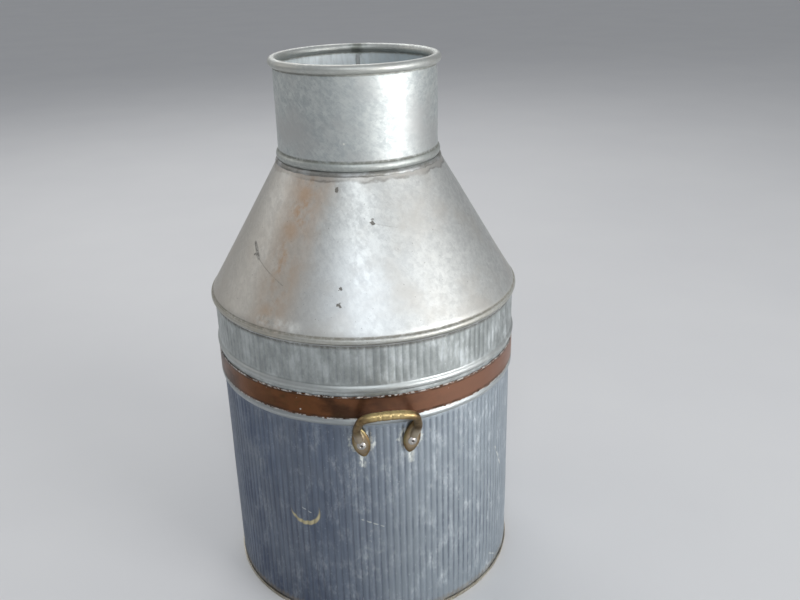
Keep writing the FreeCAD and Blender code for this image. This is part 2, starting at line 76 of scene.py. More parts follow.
SKIRT_PROUD = 1.8
cone_outer, SKIRT_LOW, CONE_TOP = reach("shoulder_cone")
CONE_FOOT_RADIUS = cone_outer - SKIRT_PROUD
SKIRT_HEIGHT = 5.7
CONE_FOOT = SKIRT_LOW + SKIRT_HEIGHT
SOLDER_TOE = CONE_TOP - 6
neck_outer, NECK_LOW, RIM_TOP = reach("neck_tube")
RIM_SECTION, WIRE = 4.0, 3.1
RIM_HEIGHT = RIM_TOP - RIM_SECTION
RIM_CENTRE = neck_outer - RIM_SECTION
NECK_RADIUS = RIM_CENTRE + SHEET / 2
CONE_HEAD_RADIUS = NECK_RADIUS + 1
NECK_BEAD, NECK_BEAD_HALF, NECK_BEAD_PROUD = CONE_TOP + 4.5, 3.7, 1.9
pan_outer, _, PAN_TOP = reach("base_pan")

SEAM_ANGLE = 172.0
BODY_SEAM_ANGLE = 150.0
RIVET_ANGLE = 8.8
RIVET_HEIGHT = 193.5
FOOT_FACE = 144.2


def cone_radius(height):
    """The cone's outer radius at a height."""
    share = (height - CONE_FOOT) / (CONE_TOP - CONE_FOOT)
    return CONE_FOOT_RADIUS + share * (CONE_HEAD_RADIUS - CONE_FOOT_RADIUS)


def wall_radius(height):
    """The can's nominal outer radius at a height."""
    if height >= CONE_TOP:
        return NECK_RADIUS
    if height >= CONE_FOOT:
        return cone_radius(height)
    return UPPER_RADIUS if height >= LOWER_BEAD else BODY_RADIUS


def round_axis(turn, radius, height):
    """Points from their turn about the axis, in radians from the front, their radius and height."""
    return np.stack(np.broadcast_arrays(radius * np.sin(turn), -radius * np.cos(turn), height), -1)


def on_wall(angle, height):
    """The point of the outer wall at an angle from the front and a height."""
    return Vector(round_axis(math.radians(angle), wall_radius(height), height))


def up_cone(angle, share):
    """A point of the cone, from 0 at its foot to 1 at the neck."""
    return on_wall(angle, CONE_FOOT + share * (CONE_TOP - CONE_FOOT))


def up_body(angle, share):
    """A point of the ribbed body, from 0 at its foot to 1 at the copper strip."""
    return on_wall(angle, BODY_LOW + share * (STRIP_LOW - BODY_LOW))


# ------------------------------ mesh tools
def build_mesh(name, points, faces, sharp=40):
    """A smooth-shaded object from points in millimetres, creased where it turns more than sharp."""
    mesh = bpy.data.meshes.new(name)
    mesh.from_pydata((np.asarray(points) * MM).tolist(), [], faces)
    mesh.shade_smooth()
    mesh.set_sharp_from_angle(angle=math.radians(sharp))
    piece = bpy.data.objects.new(name, mesh)
    bpy.context.scene.collection.objects.link(piece)
    return piece


def ring_faces(rows, columns, closed=True):
    """Quads over a grid of points whose rows are rings. Closed, its last row joins its first."""
    here = np.arange(rows * columns).reshape(rows, columns)
    above = np.roll(here, -1, axis=0)
    quads = np.stack([here, above, np.roll(above, -1, axis=1), np.roll(here, -1, axis=1)], -1)
    return quads[:rows if closed else rows - 1].reshape(-1, 4)


def slab_faces(rows, columns):
    """Faces of a thin slab. Each row has columns points on top, then as many back along below."""
    faces = turned_over(ring_faces(rows, 2 * columns, closed=False))
    for row in (0, rows - 1):
        base = row * 2 * columns
        for side in range(columns - 1):
            under = base + 2 * columns - 1 - side
            quad = [base + side, base + side + 1, under - 1, under]
            faces.append(quad if row else quad[::-1])
    return faces


def turned_over(quads):
    """The same quads facing the other way, as lists."""
    return quads[:, [0, 3, 2, 1]].tolist()


def ripple(angle, height, seed, size, waves, rise=60.0, count=7):
    """Smooth unevenness round a wall: seeded waves, from waves[0] to waves[1] of them to a turn."""
    draw = np.random.default_rng(seed)
    total = 0
    for _ in range(count):
        turns = int(draw.integers(waves[0], waves[1] + 1))
        pace = draw.uniform(-1, 1) * 2 * math.pi / rise
        phase = draw.uniform(0, 2 * math.pi)
        total = total + np.sin(turns * angle + pace * height + phase)
    return size * total / math.sqrt(count)


def ring_mesh(name, loop, angles, warp=None, sharp=40):
    """A closed section of (radius, height) points carried round the axis.

    warp(angle, radius, height) returns the radius and height to use at each point.
    """
    loop = np.array(loop, float)
    angle, radius = np.meshgrid(angles, loop[:, 0], indexing="ij")
    height = np.broadcast_to(loop[:, 1], radius.shape)
    if warp:
        radius, height = warp(angle, radius, height)
    points = round_axis(angle, radius, height).reshape(-1, 3)
    return build_mesh(name, points, ring_faces(*radius.shape).tolist(), sharp)


def even_angles(count):
    return np.arange(count) * 2 * math.pi / count


def thick_section(path, gauge):
    """The closed outline, anticlockwise, of a sheet of that gauge along a centre line."""
    path = np.array(path, float)
    along = np.gradient(path, axis=0)
    along /= np.linalg.norm(along, axis=1)[:, None]
    outward = np.stack([along[:, 1], -along[:, 0]], -1)
    outer = path + outward * gauge / 2
    inner = path - outward * gauge / 2
    return np.vstack([outer, inner[::-1]])


def bead_path(radius_low, radius_high, middle, half, proud, count):
    """Centre line of a rounded swage between two plain stretches."""
    share = np.linspace(0, 1, count)
    height = middle + half * (2 * share - 1)
    radius = radius_low + (radius_high - radius_low) * share
    arch = np.sin(math.pi * share)
    swell = proud * np.sqrt(np.clip(arch, 0, 1)) * 0.5 + proud * arch * 0.5
    return list(zip(radius + swell, height))


def straight(start, end, count):
    """count points from start up to, but not including, end."""
    share = np.arange(count)[:, None] / count
    return list(map(tuple, np.array(start) + share * (np.array(end) - np.array(start))))


def keep(piece, slot_name, node):
    """Gives a piece the material under slot_name and its body, and hides the CAD node that it stands for."""
    piece.data.materials.clear()
    piece.data.materials.append(MATERIALS[slot_name])
    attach(piece, "root")
    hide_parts(node)


# ------------------------------ shader tools
class Surface:
    """A procedural material made by short calls. Places are millimetres, colours linear RGB."""

    def __init__(self, name, metallic=1.0):
        self.material = bpy.data.materials.new(name)
        self.material.use_nodes = True
        self.tree = self.material.node_tree
        self.shader = self.tree.nodes["Principled BSDF"]
        self.shader.inputs["Metallic"].default_value = metallic
        self.colour = None
        self.place = self.scaled(self.node("TexCoord").outputs["Object"], 1 / MM)
        self.x, self.y, self.height = self.node("SeparateXYZ", Vector=self.place).outputs
        squares = self.plus(self.times(self.x, self.x), self.times(self.y, self.y))
        self.radius = self.number("SQRT", squares)

    def feed(self, socket, value):
        if isinstance(value, bpy.types.NodeSocket):
            self.tree.links.new(value, socket)
        elif isinstance(value, (tuple, list, Vector)) and len(socket.default_value) == 4:
            socket.default_value = (*value[:3], 1)
        else:
            socket.default_value = value

    def node(self, kind, operation=None, **inputs):
        """A new shader node, its inputs set or linked by name. An underscore stands for a space."""
        node = self.tree.nodes.new("ShaderNode" + kind)
        if operation:
            node.operation = operation
        for name, value in inputs.items():
            self.feed(node.inputs[name.replace("_", " ")], value)
        return node

    def number(self, operation, first, second=0.0):
        node = self.node("Math", operation)
        self.feed(node.inputs[0], first)
        self.feed(node.inputs[1], second)
        return node.outputs[0]

    def vector(self, operation, first, second, out="Vector"):
        node = self.node("VectorMath", operation)
        self.feed(node.inputs[0], first)
        self.feed(node.inputs[1], second)
        return node.outputs[out]

    def scaled(self, vector, scale):
        return self.node("VectorMath", "SCALE", Vector=vector, Scale=scale).outputs["Vector"]

    def fold(self, operation, values):
        total = values[0]
        for value in values[1:]:
            total = self.number(operation, total, value)
        return total

    def times(self, *values):
        return self.fold("MULTIPLY", values)

    def plus(self, *values):
        return self.fold("ADD", values)

    def most(self, *values):
        return self.fold("MAXIMUM", values)

    def rest(self, value):
        """What value leaves of 1."""
        return self.number("SUBTRACT", 1.0, value)

    def span(self, value, low, high, start=0.0, end=1.0):
        """value from low..high mapped to start..end, smoothly and held at both ends."""
        node = self.node("MapRange", Value=value, From_Min=low, From_Max=high, To_Min=start, To_Max=end)
        node.interpolation_type = "SMOOTHSTEP"
        return node.outputs["Result"]

    def mix(self, share, first, second):
        node = self.node("Mix")
        node.data_type = "RGBA"
        for socket, value in zip((node.inputs[0], node.inputs[6], node.inputs[7]), (share, first, second)):
            self.feed(socket, value)
        return node.outputs[2]

    def base(self, share, first, second):
        self.colour = self.mix(share, first, second)

    def cover(self, tint, *masks):
        """Lays a tint over the colour, as far as all the masks together let it."""
        self.colour = self.mix(self.times(*masks), self.colour, tint)

    def noise(self, size, detail=3.0, rough=0.55, up=1.0, distortion=0.0):
        """Noise from 0 to 1, in patches about size millimetres wide and size / up high."""
        place = self.vector("MULTIPLY", self.place, (1, 1, up))
        return self.node("TexNoise", Vector=place, Scale=1 / size, Detail=detail, Roughness=rough,
                         Distortion=distortion).outputs["Fac"]

    def flecks(self, size, slant=0.6, squeeze=0.3):
        """Noise from 0 to 1 drawn out into short flecks that run at a slant."""
        turned = self.node("Mapping", Vector=self.place, Scale=(1, 1, squeeze))
        turned.inputs["Rotation"].default_value = (slant, slant, 0)
        turned.vector_type = "TEXTURE"
        return self.node("TexNoise", Vector=turned.outputs[0], Scale=1 / size, Detail=5,
                         Roughness=0.7).outputs["Fac"]

    def grey_cells(self, size):
        """Crystal-like cells about size millimetres across, each of one grey from 0 to 1."""
        cells = self.node("TexVoronoi", Vector=self.place, Scale=1 / size).outputs["Color"]
        return self.vector("DOT_PRODUCT", cells, (1 / 3, 1 / 3, 1 / 3), "Value")

    def facing_axis(self):
        """1 on walls that face the can's axis, 0 on the rest."""
        level = self.vector("MULTIPLY", self.place, (1, 1, 0))
        normal = self.node("NewGeometry").outputs["Normal"]
        return self.span(self.vector("DOT_PRODUCT", normal, level, "Value"), 0, -NECK_RADIUS / 4)

    def rib_share(self):
        """0 along the middle of each rib and 0.5 along the middle of each groove."""
        turn = self.number("ARCTAN2", self.x, self.times(self.y, -1))
        ribs = self.times(turn, RIB_COUNT / (2 * math.pi))
        part = self.number("FRACT", self.plus(ribs, RIB_COUNT + 0.5))
        return self.number("ABSOLUTE", self.plus(part, -0.5))

    def shaken(self, away, ragged, size):
        """A distance from a mark, shaken by noise so that the mark's edge is ragged."""
        if ragged is None:
            return away
        return self.plus(away, self.times(self.plus(ragged, -0.5), size))

    def spot(self, place, size, soft=0.5, ragged=None):
        """1 inside a mark round a place, fading to 0 at its edge."""
        away = self.shaken(self.vector("DISTANCE", self.place, place, "Value"), ragged, size * 1.4)
        return self.span(away, size * (1 - soft), size * (1 + soft), 1.0, 0.0)

    def line(self, start, end, half_width, ragged=None):
        """1 along a mark between two places."""
        along = end - start
        from_start = self.vector("SUBTRACT", self.place, start)
        share = self.vector("DOT_PRODUCT", from_start, along / along.length_squared, "Value")
        share = self.number("MINIMUM", self.most(share, 0.0), 1.0)
        away = self.vector("DISTANCE", from_start, self.scaled(along, share), "Value")
        away = self.shaken(away, ragged, half_width * 2)
        return self.span(away, half_width * 0.4, half_width * 1.3, 1.0, 0.0)

    def band(self, middle, half, soft=1.0, height=None):
        """1 within half of a height, fading over soft millimetres."""
        away = self.number("ABSOLUTE", self.plus(height or self.height, -middle))
        return self.span(away, half, half + soft, 1.0, 0.0)

    def finish(self, roughness, metallic=None, bump=None, depth=0.1):
        """Connects the shader. depth is how far the bump would rise, in millimetres."""
        self.feed(self.shader.inputs["Base Color"], self.colour)
        self.feed(self.shader.inputs["Roughness"], roughness)
        if metallic is not None:
            self.feed(self.shader.inputs["Metallic"], metallic)
        if bump is not None:
            node = self.node("Bump", Distance=depth * MM, Strength=1.0, Height=bump)
            self.feed(self.shader.inputs["Normal"], node.outputs[0])
        return self.material


# ------------------------------ materials
def spangle(coat):
    """Mottled crystal pattern of zinc, from 0 to 1, broken up by fine noise."""
    wander = coat.noise(16.0, detail=3, rough=0.6)
    grain = coat.noise(4.0, detail=6, rough=0.8, distortion=1.2)
    cloud = coat.plus(coat.times(grain, 0.35), coat.times(wander, 0.15))
    shapes = coat.plus(coat.times(coat.flecks(9.0), 0.38), coat.times(coat.grey_cells(3.5), 0.12))
    return coat.plus(cloud, shapes)


def neck_sheet():
    coat = Surface("zinc_neck")
    crystals = spangle(coat)
    cloud = coat.noise(38, detail=3)
    coat.base(coat.span(crystals, 0.38, 0.62), (0.46, 0.495, 0.50), (0.67, 0.70, 0.68))
    coat.cover((0.54, 0.55, 0.54), coat.span(cloud, 0.4, 0.75))
    inside = coat.times(coat.facing_axis(), coat.span(coat.height, RIM_HEIGHT, RIM_HEIGHT - 8))
    streaks = coat.noise(4, detail=4, up=0.15)
    # The tinned lining inside the neck, with painted light: lighter on the left, darker on the right.
    tin_lining_and_painted_light = coat.mix(coat.span(coat.x, -10, 60), (0.92, 0.97, 0.98), (0.52, 0.59, 0.63))
    coat.cover(tin_lining_and_painted_light, inside, coat.span(streaks, 0.3, 0.7, 0.55, 1))
    patchy_noise = coat.noise(5, detail=4)
    # Painted shade: dark lines in the crease above the bead and under the rolled rim, broken up by noise.
    over_bead = coat.band(NECK_BEAD + NECK_BEAD_HALF + 0.4, 0.5, 1.3)
    under_rim = coat.band(RIM_HEIGHT - RIM_SECTION - 0.3, 0.3, 1.4)
    crease_shade = coat.times(coat.most(over_bead, under_rim), coat.span(patchy_noise, 0.25, 0.6, 0.2, 0.75))
    coat.cover((0.20, 0.20, 0.17), crease_shade)
    rim = coat.band(RIM_HEIGHT, RIM_SECTION + 0.4, 0.6)
    coat.cover((0.50, 0.50, 0.465), rim, coat.span(cloud, 0.35, 0.6, 0.5, 0.8))
    rim_seam = coat.spot(on_wall(SEAM_ANGLE, RIM_HEIGHT), 7, 0.4, patchy_noise)
    coat.cover((0.17, 0.18, 0.15), rim_seam, 0.75)
    speck = coat.spot(on_wall(-15, NECK_BEAD + 20), 0.9, 0.4)
    coat.cover((0.9, 0.9, 0.85), speck)
    coat.cover((0.36, 0.37, 0.33), coat.band(NECK_BEAD, NECK_BEAD_HALF, 0.6), 0.4)
    rough = coat.plus(coat.span(crystals, 0.38, 0.62, 0.60, 0.50), coat.times(crease_shade, 0.25))
    metal = coat.rest(coat.times(inside, 0.75))
    relief = coat.times(crystals, coat.span(coat.height, RIM_HEIGHT - 5, RIM_HEIGHT - 3, 1.0, 0.3))
    return coat.finish(rough, metal, bump=relief, depth=0.06)


# Marks on the cone, placed coarsely after the photo: degrees from the front and shares of the
# cone's height.
STAIN_TOP, STAIN_FOOT = up_cone(-38, 0.95), up_cone(-42, 0.05)
BLOOMS = (up_cone(-40, 0.85), up_cone(-43, 0.62), up_cone(-44, 0.08))
SMEAR_LEFT, SMEAR_RIGHT = up_cone(-45, 0.05), up_cone(-30, 0.04)
CHIPS = (up_cone(-60, 0.42), up_cone(-15, 0.30), up_cone(-15, 0.20), up_cone(0, 0.70), up_cone(-20, 0.90))
GOUGE_TOP, GOUGE_FOOT = up_cone(-64, 0.48), up_cone(-57, 0.40)
# Each scratch is straight and short, so that it stays on the round wall: start, end, half width.
SCRATCHES = (
    (up_cone(0, 0.69), up_cone(6, 0.67), 0.4),
    (up_cone(6, 0.67), up_cone(12, 0.65), 0.4),
    (up_cone(-57, 0.40), up_cone(-51, 0.36), 0.6),
    (up_cone(-51, 0.36), up_cone(-45, 0.32), 0.6),
    (up_cone(-45, 0.32), up_cone(-39, 0.28), 0.5),
)


def cone_sheet():
    coat = Surface("zinc_cone")
    crystals = spangle(coat)
    cloud = coat.noise(45, detail=4)
    ragged = coat.noise(4, detail=5, rough=0.7)
    coat.base(coat.span(crystals, 0.38, 0.62), (0.53, 0.54, 0.53), (0.69, 0.70, 0.68))
    coat.cover((0.56, 0.54, 0.50), coat.span(cloud, 0.42, 0.7, 0, 0.7))
    # Painted highlight: a broad pale bluish patch low on the front of the cone.
    painted_highlight = coat.spot(up_cone(-8, 0.2), 40, 0.9, cloud)
    coat.cover((0.84, 0.88, 0.91), painted_highlight, 0.4)
    blots = coat.noise(14, detail=6, rough=0.7, up=0.5)
    trail = coat.line(STAIN_TOP, STAIN_FOOT, 24, blots)
    core = coat.line(STAIN_TOP, STAIN_FOOT, 9, blots)
    stains = coat.plus(coat.times(trail, coat.span(blots, 0.38, 0.68, 0.2, 0.65)),
                       coat.times(core, coat.span(blots, 0.5, 0.66, 0.0, 0.35)))
    blooms = coat.most(*[coat.spot(place, 9, 0.8, blots) for place in BLOOMS])
    stains = coat.most(stains, coat.times(blooms, 0.75))
    coat.cover((0.64, 0.42, 0.255), stains, 0.9)
    # Painted shade: the left side of the cone darker, tinted warm.
    to_left = coat.span(coat.x, -20, -110)
    coat.cover((0.52, 0.48, 0.42), to_left, 0.55)
    smears = coat.times(coat.line(SMEAR_LEFT, SMEAR_RIGHT, 6, ragged), coat.span(ragged, 0.30, 0.62))
    mottle = coat.mix(coat.span(blots, 0.4, 0.6), (0.31, 0.30, 0.27), (0.64, 0.64, 0.61))
    coat.cover(mottle, smears, 0.75)
    nicks = coat.span(coat.noise(3.2, detail=3), 0.35, 0.65)
    gouge = coat.times(coat.line(GOUGE_TOP, GOUGE_FOOT, 2.0, ragged),
                       coat.span(ragged, 0.42, 0.56, 0.25, 0.9))
    dings = coat.most(gouge, *[coat.spot(place, 1.7, 0.2, nicks) for place in CHIPS])
    specks = coat.span(coat.noise(1.6, detail=1), 0.755, 0.785, 0.0, 0.6)
    coat.cover((0.13, 0.12, 0.10), coat.most(coat.times(dings, 0.85), specks))
    scratches = coat.most(*[coat.line(*scratch) for scratch in SCRATCHES])
    coat.cover((0.22, 0.20, 0.17), scratches, coat.span(ragged, 0.35, 0.6, 0.1, 0.5))
    # Painted shade with some grime: a dark ragged line in the groove at the cone's foot.
    groove_shade_and_grime = coat.times(coat.band(CONE_FOOT + 0.1, 0.5, 1.2), coat.span(ragged, 0.3, 0.6, 0.4, 0.85))
    coat.cover((0.22, 0.21, 0.17), groove_shade_and_grime)
    skirt = coat.band(SKIRT_LOW + 2.0, 2.2, 0.5)
    coat.cover((0.42, 0.415, 0.36), skirt, coat.span(ragged, 0.35, 0.65, 0.35, 0.7))
    # Painted shade: a dark line along the skirt's lower edge.
    shade_at_skirt_lip = coat.band(SKIRT_LOW, 0.5, 1.0)
    coat.cover((0.17, 0.16, 0.13), shade_at_skirt_lip, 0.7)
    wobble = coat.plus(coat.height, coat.times(coat.plus(coat.noise(22, detail=4), -0.5), 12))
    run_out = coat.span(wobble, SOLDER_TOE - 1.2, SOLDER_TOE + 1.2)
    coat.cover((0.42, 0.39, 0.355), run_out, 0.5)
    patchy = coat.span(coat.noise(26, detail=4), 0.42, 0.66, 0.05, 0.6)
    coat.cover((0.19, 0.18, 0.16), coat.band(SOLDER_TOE, 0.2, 1.3, wobble), patchy)
    dull = coat.most(stains, smears, dings, groove_shade_and_grime)
    rough = coat.plus(coat.span(crystals, 0.38, 0.62, 0.56, 0.50), coat.times(dull, 0.25))
    metal = coat.rest(coat.times(coat.most(smears, dings, groove_shade_and_grime), 0.7))
    relief = coat.plus(crystals, coat.times(dings, -3.0))
    return coat.finish(rough, metal, bump=relief, depth=0.05)


# Marks on the body, placed in the same way. Hair scratches are start, end, half width.
CRESCENT = up_body(-32, 0.53)
HAIRS = (
    (up_body(-10, 0.52), up_body(-2, 0.48), 0.6),
    (up_body(-34, 0.55), up_body(-28, 0.52), 0.4),
    (up_body(52, 0.65), up_body(58, 0.52), 0.9),
    (up_body(48, 0.10), up_body(54, 0.05), 0.8),
)


# Between these heights the painted shade and dirt in the grooves thin out.
GROOVES_PALER = 90, 200


def ribbed_sheet():
    """Weathered zinc: bluish grey, lighter towards the right and darker to the left as painted light and
    shade with some oxide, darker in the grooves as painted shade with some dirt, chalky white oxide to the
    right.
    """
    coat = Surface("zinc_ribbed")
    streaks = coat.noise(9, detail=4, rough=0.6, up=0.12)
    broad = coat.noise(60, detail=3)
    patches = coat.noise(13, detail=6, rough=0.7, up=0.6)
    fine = coat.noise(1.6, detail=4, rough=0.7, up=0.3)
    ragged = coat.noise(3, detail=5, rough=0.7)
    upper = coat.span(coat.height, STRIP_HIGH - 2, STRIP_HIGH + 1)
    to_right = coat.span(coat.x, -85, 60)

    coat.base(coat.span(streaks, 0.3, 0.7), (0.09, 0.115, 0.17), (0.165, 0.20, 0.26))
    coat.cover((0.19, 0.215, 0.25), coat.span(broad, 0.4, 0.65, 0, 0.5))
    # Painted light and shade with some oxide: the wall lighter and paler towards the right, darker to the
    # left.
    coat.cover((0.51, 0.57, 0.61), to_right, 0.74)
    pale = coat.mix(coat.span(patches, 0.3, 0.7), (0.34, 0.36, 0.345), (0.56, 0.59, 0.57))
    coat.cover(pale, upper, 0.85)
    waist = coat.band((WAIST_LOW + WAIST_HIGH) / 2, (WAIST_HIGH - WAIST_LOW) / 2)
    ribbed = coat.times(coat.rest(coat.facing_axis()), coat.rest(waist))
    # Painted shade with some dirt: the grooves between the ribs darker.
    groove_shade_and_dirt = coat.times(
        ribbed, coat.span(coat.rib_share(), 0.22, 0.44),
        coat.span(coat.noise(45, detail=4), 0.35, 0.65, 0.78, 0.3),
        coat.span(coat.height, *GROOVES_PALER, 1.0, 0.6), coat.plus(coat.times(upper, -0.65), 1.0))
    coat.cover((0.085, 0.10, 0.14), groove_shade_and_dirt)

    oxide = coat.times(coat.span(patches, 0.46, 0.68, 0.0, 0.8), coat.span(fine, 0.35, 0.62))
    chips = coat.times(coat.span(coat.noise(2.0, detail=3, up=0.7), 0.66, 0.71), 0.8)
    oxide = coat.times(coat.most(oxide, chips), coat.plus(coat.times(to_right, 0.5), 0.3))
    coat.cover((0.64, 0.68, 0.70), oxide)
    beads = coat.most(coat.band(LOWER_BEAD, 3.0, 1.0), coat.band(UPPER_BEAD, 3.0, 1.0))
    coat.cover((0.50, 0.52, 0.51), beads, 0.75)
    # Painted shade with some grime: a dark ragged band on the wall just under the skirt.
    under = coat.times(coat.band(SKIRT_LOW - 1.4, 1.4, 3.0), coat.span(ragged, 0.3, 0.55, 0.3, 1))
    coat.cover((0.11, 0.105, 0.09), under, 0.85)
    foot = coat.times(coat.band(BODY_LOW + 3, 2.6, 5.0), coat.span(ragged, 0.3, 0.7, 0.1, 0.6))
    coat.cover((0.36, 0.29, 0.20), foot)

    disc = coat.spot(CRESCENT, 15, 0.05)
    bite = coat.spot(CRESCENT + Vector((-1, 0, 4)), 15, 0.05)
    crescent = coat.times(disc, coat.rest(bite))
    coat.cover((0.52, 0.45, 0.26), crescent, 0.85)
    hairs = coat.most(*[coat.line(start, end, half, ragged) for start, end, half in HAIRS])
    coat.cover((0.78, 0.80, 0.76), hairs, 0.8)
    rivets = [on_wall(side * RIVET_ANGLE, RIVET_HEIGHT) for side in (-1, 1)]
    halos = coat.most(*[coat.spot(rivet, 11, 0.2, ragged) for rivet in rivets])
    drips = coat.most(*[coat.line(rivet - 10 * UP, rivet - 22 * UP, 3, ragged) for rivet in rivets])
    deposit = coat.times(coat.most(halos, drips), coat.span(fine, 0.37, 0.55, 0.0, 0.9))
    coat.cover((0.72, 0.74, 0.70), deposit)

    chalk = coat.most(oxide, deposit, crescent)
    rough = coat.plus(coat.span(streaks, 0.3, 0.7, 0.44, 0.38), coat.times(chalk, 0.3),
                      coat.times(groove_shade_and_dirt, 0.12), coat.times(beads, 0.08))
    metal = coat.rest(coat.times(coat.most(chalk, under, groove_shade_and_dirt), 0.6))
    relief = coat.times(coat.plus(fine, streaks), coat.plus(coat.times(beads, -0.7), 1.0))
    return coat.finish(rough, metal, bump=relief, depth=0.08)


def copper():
    coat = Surface("copper_patina")
    cloud = coat.noise(34, detail=4, up=1.6)
    fine = coat.noise(3, detail=5, rough=0.7)
    coat.base(coat.span(cloud, 0.38, 0.62), (0.042, 0.019, 0.009), (0.15, 0.06, 0.024))
    blotches = coat.noise(9, detail=5, rough=0.7)
    coat.cover((0.075, 0.050, 0.018), coat.span(blotches, 0.5, 0.7, 0, 0.5))
    # Painted light: the strip lighter and redder towards the right, darker brown to the left.
    to_right = coat.span(coat.x, -75, 110)
    coat.cover((0.35, 0.18, 0.12), to_right, 0.85)
    orange = coat.spot(on_wall(-50, STRIP_LOW + 10), 22, 0.8, cloud)
    coat.cover((0.22, 0.085, 0.03), orange, 0.5)
    edges = coat.most(coat.band(STRIP_LOW, 0.5, 1.3), coat.band(STRIP_HIGH, 0.5, 1.6))
    flecks = coat.times(edges, coat.span(fine, 0.45, 0.57))
    scatter = coat.times(coat.span(coat.noise(2.2, detail=2), 0.76, 0.80), 0.5)
    # Darker lines just inside both edges of the strip.
    edge_lines = coat.most(coat.band(STRIP_LOW + 1.6, 0.8, 1.6), coat.band(STRIP_HIGH - 1.6, 0.5, 1.4))
    coat.cover((0.045, 0.028, 0.018), edge_lines, coat.span(blotches, 0.35, 0.6, 0.2, 0.75))
    pale = coat.most(flecks, scatter, coat.spot(on_wall(-30, STRIP_LOW + 6), 0.8, 0.4))
    coat.cover((0.72, 0.70, 0.66), pale, 0.85)
    rough = coat.plus(coat.span(cloud, 0.3, 0.7, 0.42, 0.32), coat.times(pale, 0.3))
    metal = coat.number("SUBTRACT", 0.9, coat.times(pale, 0.6))
    return coat.finish(rough, metal, bump=fine, depth=0.07)


def brass():
    """Old cast brass: bright along the grip's top from wear and a painted highlight, painted highlight on
    the faces of the feet, brown and olive tarnish lower down.
    """
    coat = Surface("brass_casting_aged")
    fine = coat.noise(1.5, detail=5, rough=0.7)
    cloud = coat.noise(9, detail=4, rough=0.6)
    coat.base(coat.span(cloud, 0.35, 0.65), (0.12, 0.078, 0.036), (0.27, 0.185, 0.09))
    green = coat.times(coat.span(cloud, 0.50, 0.66), coat.span(coat.height, GRIP_TOP - 3, GRIP_TOP - 26))
    coat.cover((0.14, 0.14, 0.06), green, 0.6)
    # Partly wear, partly painted highlight: the top of the grip lighter and golden.
    along_grip = coat.span(coat.number("ABSOLUTE", coat.x), GRIP_HALF + 9, GRIP_HALF - 2)
    wear_and_highlight = coat.times(coat.span(coat.height, GRIP_TOP - 5, GRIP_TOP + 1), along_grip,
                      coat.span(fine, 0.25, 0.6, 0.5, 1.0))
    coat.cover((0.62, 0.47, 0.22), wear_and_highlight)
    # Painted highlight: the faces of the feet lighter and pinkish.
    foot_face_highlight = coat.span(coat.radius, BODY_RADIUS + 3.0, BODY_RADIUS + 4.6, 0.0, 0.75)
    coat.cover((0.56, 0.48, 0.37), foot_face_highlight, coat.span(coat.height, GRIP_TOP - 19, GRIP_TOP - 27))
    rough = coat.plus(coat.span(cloud, 0.3, 0.7, 0.52, 0.36), coat.times(wear_and_highlight, -0.08))
    return coat.finish(rough, 0.92, bump=coat.plus(fine, coat.times(cloud, 0.8)), depth=0.12)


def solder():
    coat = Surface("solder_dull")
    fine = coat.noise(1.8, detail=5, rough=0.7)
    cloud = coat.noise(12, detail=3)
    coat.base(coat.span(cloud, 0.4, 0.65), (0.46, 0.47, 0.47), (0.60, 0.61, 0.60))
    coat.cover((0.36, 0.36, 0.34), coat.span(fine, 0.5, 0.68, 0, 0.4))
    coat.cover((0.20, 0.19, 0.165), coat.band(CONE_TOP - 1, 3.5, 1.0), coat.span(cloud, 0.35, 0.6, 0.1, 0.8))
    return coat.finish(coat.span(fine, 0.3, 0.7, 0.42, 0.66), 0.9, bump=fine, depth=0.18)


def plain_metal(name, dark, light, grain=2.0):
    """Dull metal for the floor, wire and rivets."""
    coat = Surface(name)
    fine = coat.noise(grain, detail=4, rough=0.65)
    cloud = coat.noise(grain * 8, detail=3)
    mixed = coat.plus(coat.times(fine, 0.5), coat.times(cloud, 0.5))
    coat.base(coat.span(mixed, 0.35, 0.65), dark, light)
    return coat.finish(coat.span(fine, 0.3, 0.7, 0.35, 0.55), 0.95, bump=fine, depth=0.06)


# ------------------------------ body
def rib_angles():
    """Angles that put a few points on every crest and in every groove."""
    half = CREST_SHARE / 2
    shares = [*np.linspace(-half, half, 6), half + 0.055, 0.5, 1 - half - 0.055]
    step = 2 * math.pi / RIB_COUNT
    return np.concatenate([(rib + np.array(shares)) * step for rib in range(RIB_COUNT)])


def rib_drop(angle, height):
    """How far the ribbed wall lies inside its crests."""
    step = 2 * math.pi / RIB_COUNT
    share = np.abs((angle / step + 0.5) % 1 - 0.5)
    half = CREST_SHARE / 2
    crest = 0.65 * (np.minimum(share, half) / half) ** 2
    groove = 0.35 * np.clip((share - half) / (0.5 - half), 0, 1) ** 0.7
    number = np.round(angle / step).astype(int) % RIB_COUNT
    depth = np.random.default_rng(3).uniform(0.85, 1.0, RIB_COUNT)[number] * RIB_DEPTH
    low = np.clip((height - RIBS_LOW) / 2.5, 0, 1) * np.clip((WAIST_LOW + 1 - height) / 3, 0, 1)
    high = np.clip((height - WAIST_HIGH + 1) / 3, 0, 1) * np.clip((RIBS_HIGH - height) / 2, 0, 1)
    present = np.clip(low + UPPER_RIB_SHARE * high, 0, 1)
    return present * depth * (crest + groove) + (1 - present) * PLAIN_INSET


